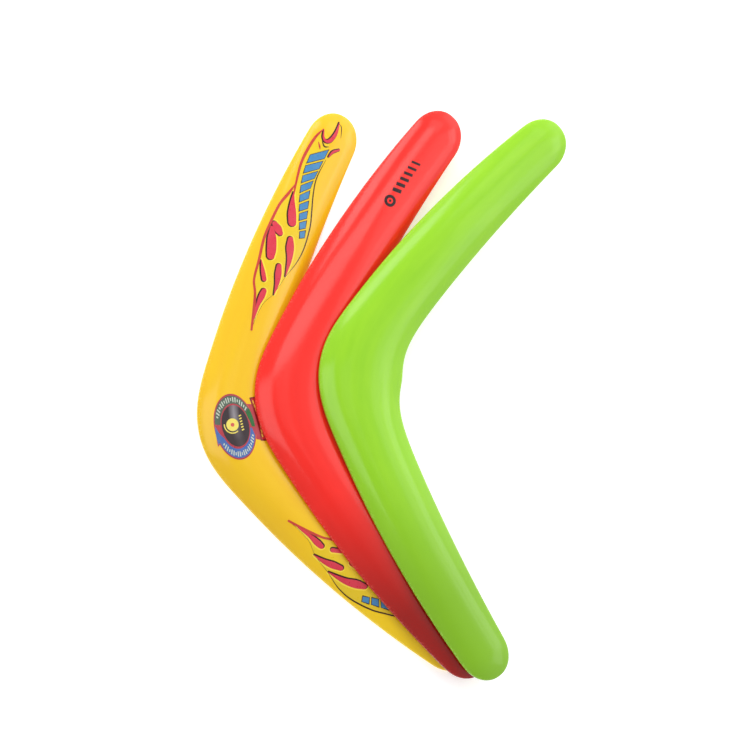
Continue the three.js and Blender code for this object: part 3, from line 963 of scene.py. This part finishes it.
def badge_inks():
    """In the order of the numbers BADGE_ROSE to BADGE_RED."""
    return [
        printed_ink("rose_ink", (178, 52, 66), (196, 84, 96)),
        printed_ink("grey_green_ink", (78, 96, 82), (104, 116, 104)),
        printed_ink("green_ink", (30, 104, 48), (58, 120, 70)),
        printed_ink("blue_foil_ink", (62, 104, 176), (104, 124, 180)),
        foil_with_painted_sheen("grey_foil_painted_sheen", (70, 60, 64), (160, 154, 160)),
        printed_ink("badge_yellow_ink", (244, 226, 108), (230, 208, 88)),
        printed_ink("badge_pale_ink", (206, 214, 196), (176, 190, 176)),
        printed_ink("badge_red_ink", (214, 92, 84), (220, 120, 100)),
    ]


def banner_inks():
    """In the order of the numbers BANNER_ROSE to BANNER_YELLOW."""
    return [
        printed_ink("link_rose_ink", (186, 48, 62), (200, 84, 92)),
        printed_ink("banner_red_ink", (206, 44, 50), (214, 70, 66)),
        printed_ink("banner_dark_ink", (140, 18, 28), (160, 40, 42)),
        printed_ink("banner_yellow_ink", (255, 214, 84), (244, 196, 66)),
    ]


# ---- Studio ------------------------------------------------------------------

VIEW_TILT = math.radians(20.66)          # from straight down, towards the outside of the elbows
VIEW_LEAN = math.radians(5.86)           # towards the lower tips
VIEW_DISTANCE = 7.0                      # metres: a long lens, with almost no perspective
VIEW_WIDTH = 0.4725                      # metres across the picture at the target
VIEW_SHIFT = Vector((-1.74, 11.89, 0)) * MM    # of the target, from the middle of the CAD box
SENSOR_WIDTH = 36


def add_camera():
    """A long lens above the outside of the elbows, with the upper arms at the top of the picture."""
    low, high = CAD_BOX
    middle = (low + high) / 2
    target = Vector((middle.x, middle.y, low.z)) + VIEW_SHIFT
    camera = bpy.data.objects.new("camera", bpy.data.cameras.new("camera"))
    bpy.context.scene.collection.objects.link(camera)
    turn = Matrix.Rotation(-VIEW_TILT, 4, "Y") @ Matrix.Rotation(VIEW_LEAN, 4, "X")
    back = turn @ Vector((0, 0, VIEW_DISTANCE))
    camera.matrix_world = Matrix.Translation(target + back) @ turn
    camera.data.sensor_width = SENSOR_WIDTH
    camera.data.lens = SENSOR_WIDTH * VIEW_DISTANCE / VIEW_WIDTH
    camera.data.clip_end = 4 * VIEW_DISTANCE
    bpy.context.scene.camera = camera


FLOOR_REACH = 12                         # its side, in lengths of the CAD box's diagonal
FLOOR_GLOW = 0.4                         # the paper is lit from behind too, so that it stays white
FLOOR_GAP = 0.02                         # millimetres below the rims, so that no two faces coincide


def add_floor():
    """A wide sheet of pale paper under the object."""
    low, high = CAD_BOX
    bpy.ops.mesh.primitive_grid_add(x_subdivisions=8, y_subdivisions=8,
                                    size=FLOOR_REACH * (high - low).length,
                                    location=(0, 0, low.z - FLOOR_GAP * MM))
    floor = bpy.context.object
    floor.name = "floor"
    nodes = Nodes(bpy.data.materials.new("pale_floor"))
    cloud = nodes.span(nodes.noise(scale=4), low=0, high=1)
    nodes.feed(nodes.last, {
        "Base Color": nodes.mix(cloud, linear(250, 250, 250), linear(246, 246, 246)),
        "Roughness": 0.9,
        "Specular IOR Level": 0,
        "Emission Color": (1, 1, 1, 1),
        "Emission Strength": FLOOR_GLOW,
    })
    floor.data.materials.append(nodes.owner)


SOFTBOX_DISTANCE = 1.5                   # metres from the middle of the floor
# Where each softbox stands as seen from the object: its direction in plan, in degrees counter-clockwise
# from +X, and its angle from straight overhead. Then its width, its height and its power in watts.
SOFTBOXES = {
    "above_upper_arms": (109, 44, 0.4, 0.35, 1.1),
    "left_strip": (186, 24, 0.8, 0.5, 1.7),
    "right_high": (18, 32, 0.45, 0.35, 0.3),
    "right_low": (18, 48, 0.5, 0.4, 0.8),
    "right_kicker": (-8, 43, 0.5, 0.5, 0.7),
    "upper_right_high": (60, 35, 0.5, 0.4, 0.4),
    "upper_right_low": (40, 60, 0.6, 0.5, 0.44),
    "overhead": (90, 3, 0.4, 0.4, 0.18),
}
# Broad banks with grids over them, which light the plastic but do not show in its gloss.
GRIDDED_BANKS = {
    "top_bank": (90, 65, 1.25, 0.62, 10.6),
    "upper_left_bank": (135, 65, 0.8, 0.5, 3.4),
    "lower_left_fill": (225, 50, 2.0, 1.5, 5.3),
}
# A softbox whose light is flagged off everything but the red boomerang.
RED_SHEEN = (90, 20, 0.85, 0.4, 1.9)


def add_softbox(name, turn, lean, width, height, watts):
    """A rectangular light that faces the object."""
    data = bpy.data.lights.new(name, "AREA")
    data.shape = "RECTANGLE"
    data.size = width
    data.size_y = height
    data.energy = watts
    light = bpy.data.objects.new(name, data)
    turn, lean = math.radians(turn), math.radians(lean)
    away = Vector((math.cos(turn) * math.sin(lean), math.sin(turn) * math.sin(lean), math.cos(lean)))
    light.location = away * SOFTBOX_DISTANCE
    light.rotation_mode = "QUATERNION"
    light.rotation_quaternion = away.to_track_quat("Z", "Y")
    bpy.context.scene.collection.objects.link(light)
    return light


def add_softboxes():
    """All the lamps. The one for the sheen is linked to the red moulding alone."""
    for name, setting in SOFTBOXES.items():
        add_softbox(name, *setting)
    for name, setting in GRIDDED_BANKS.items():
        add_softbox(name, *setting).visible_glossy = False
    lit_by_sheen = bpy.data.collections.new("lit_by_red_sheen")
    lit_by_sheen.objects.link(bpy.data.objects["red_wing_fine"])
    add_softbox("red_sheen", *RED_SHEEN).light_linking.receiver_collection = lit_by_sheen


ROOM_LIGHT = 0.32                        # even light from all round
ROOM_LIGHT_RIGHT = 0.72                  # added towards +X
ROOM_LIGHT_UP = 0.43                     # added towards +Y


def add_world():
    """Even light from all round, stronger towards +X and +Y."""
    nodes = Nodes(bpy.data.worlds.new("studio"), last="Background")
    vector = nodes.add("TexCoord").outputs["Generated"]
    direction = nodes.add("SeparateXYZ", {"Vector": vector})
    strength = ROOM_LIGHT
    for axis, share in (("X", ROOM_LIGHT_RIGHT), ("Y", ROOM_LIGHT_UP)):
        towards = nodes.maths("MAXIMUM", direction.outputs[axis], 0)
        strength = nodes.maths("MULTIPLY_ADD", towards, share, strength)
    nodes.feed(nodes.last, {"Color": (1, 1, 1, 1), "Strength": strength})
    bpy.context.scene.world = nodes.owner
    bpy.context.scene.view_settings.view_transform = "Standard"


# ---- Assembly ----------------------------------------------------------------

# Each plastic's main colour, then its colours in flow streaks and at a scuffed rim, and its painted light
# and shade on the lower arm: darker on the red and green (painted shade), lighter on the yellow (painted
# light).
PLASTIC = {
    "yellow": ((244, 198, 30), (239, 179, 18), (255, 232, 120), (255, 214, 22)),
    "red": ((245, 40, 30), (224, 22, 16), (255, 120, 104), (158, 24, 18)),
    "green": ((155, 216, 36), (124, 196, 19), (196, 236, 110), (134, 190, 32)),
}


def build():
    """The three mouldings, then the prints on the yellow and the red one."""
    moulding = moulding_mesh()
    places = {colour: wing_matrix(f"{colour}_wing", yaw) for colour, yaw in YAW.items()}
    for colour, colours in PLASTIC.items():
        plastic = moulded_plastic(f"{colour}_plastic", *colours)
        add_piece(f"{colour}_wing_fine", moulding.copy(), places[colour], [plastic],
                  f"{colour}_boomerang", f"{colour}_plastic", f"{colour}_wing")
    mark_inks = [printed_ink("mark_ink", (30, 5, 10), (62, 16, 24))]
    prints = [
        ("yellow", "upper_flame_print", flame_print(as_drawn), flame_inks(), "flame_film"),
        ("yellow", "lower_flame_print", flame_print(lower_flame_place), flame_inks(), "flame_film"),
        ("yellow", "elbow_badge", badge_print(), badge_inks(), "badge_foil"),
        ("yellow", "badge_banner", banner_print(), banner_inks(), "banner_film"),
        ("red", "arm_emblem", emblem_print(), mark_inks, "dark_ink"),
        ("red", "arm_word_bar", mark_bars_print(), mark_inks, "dark_ink"),
    ]
    for colour, name, picture, inks, slot in prints:
        add_piece(f"{colour}_{name}_ink", picture.mesh(name), places[colour], inks,
                  f"{colour}_boomerang", slot, f"{colour}_{name}")


add_camera()
build()
add_floor()
add_softboxes()
add_world()
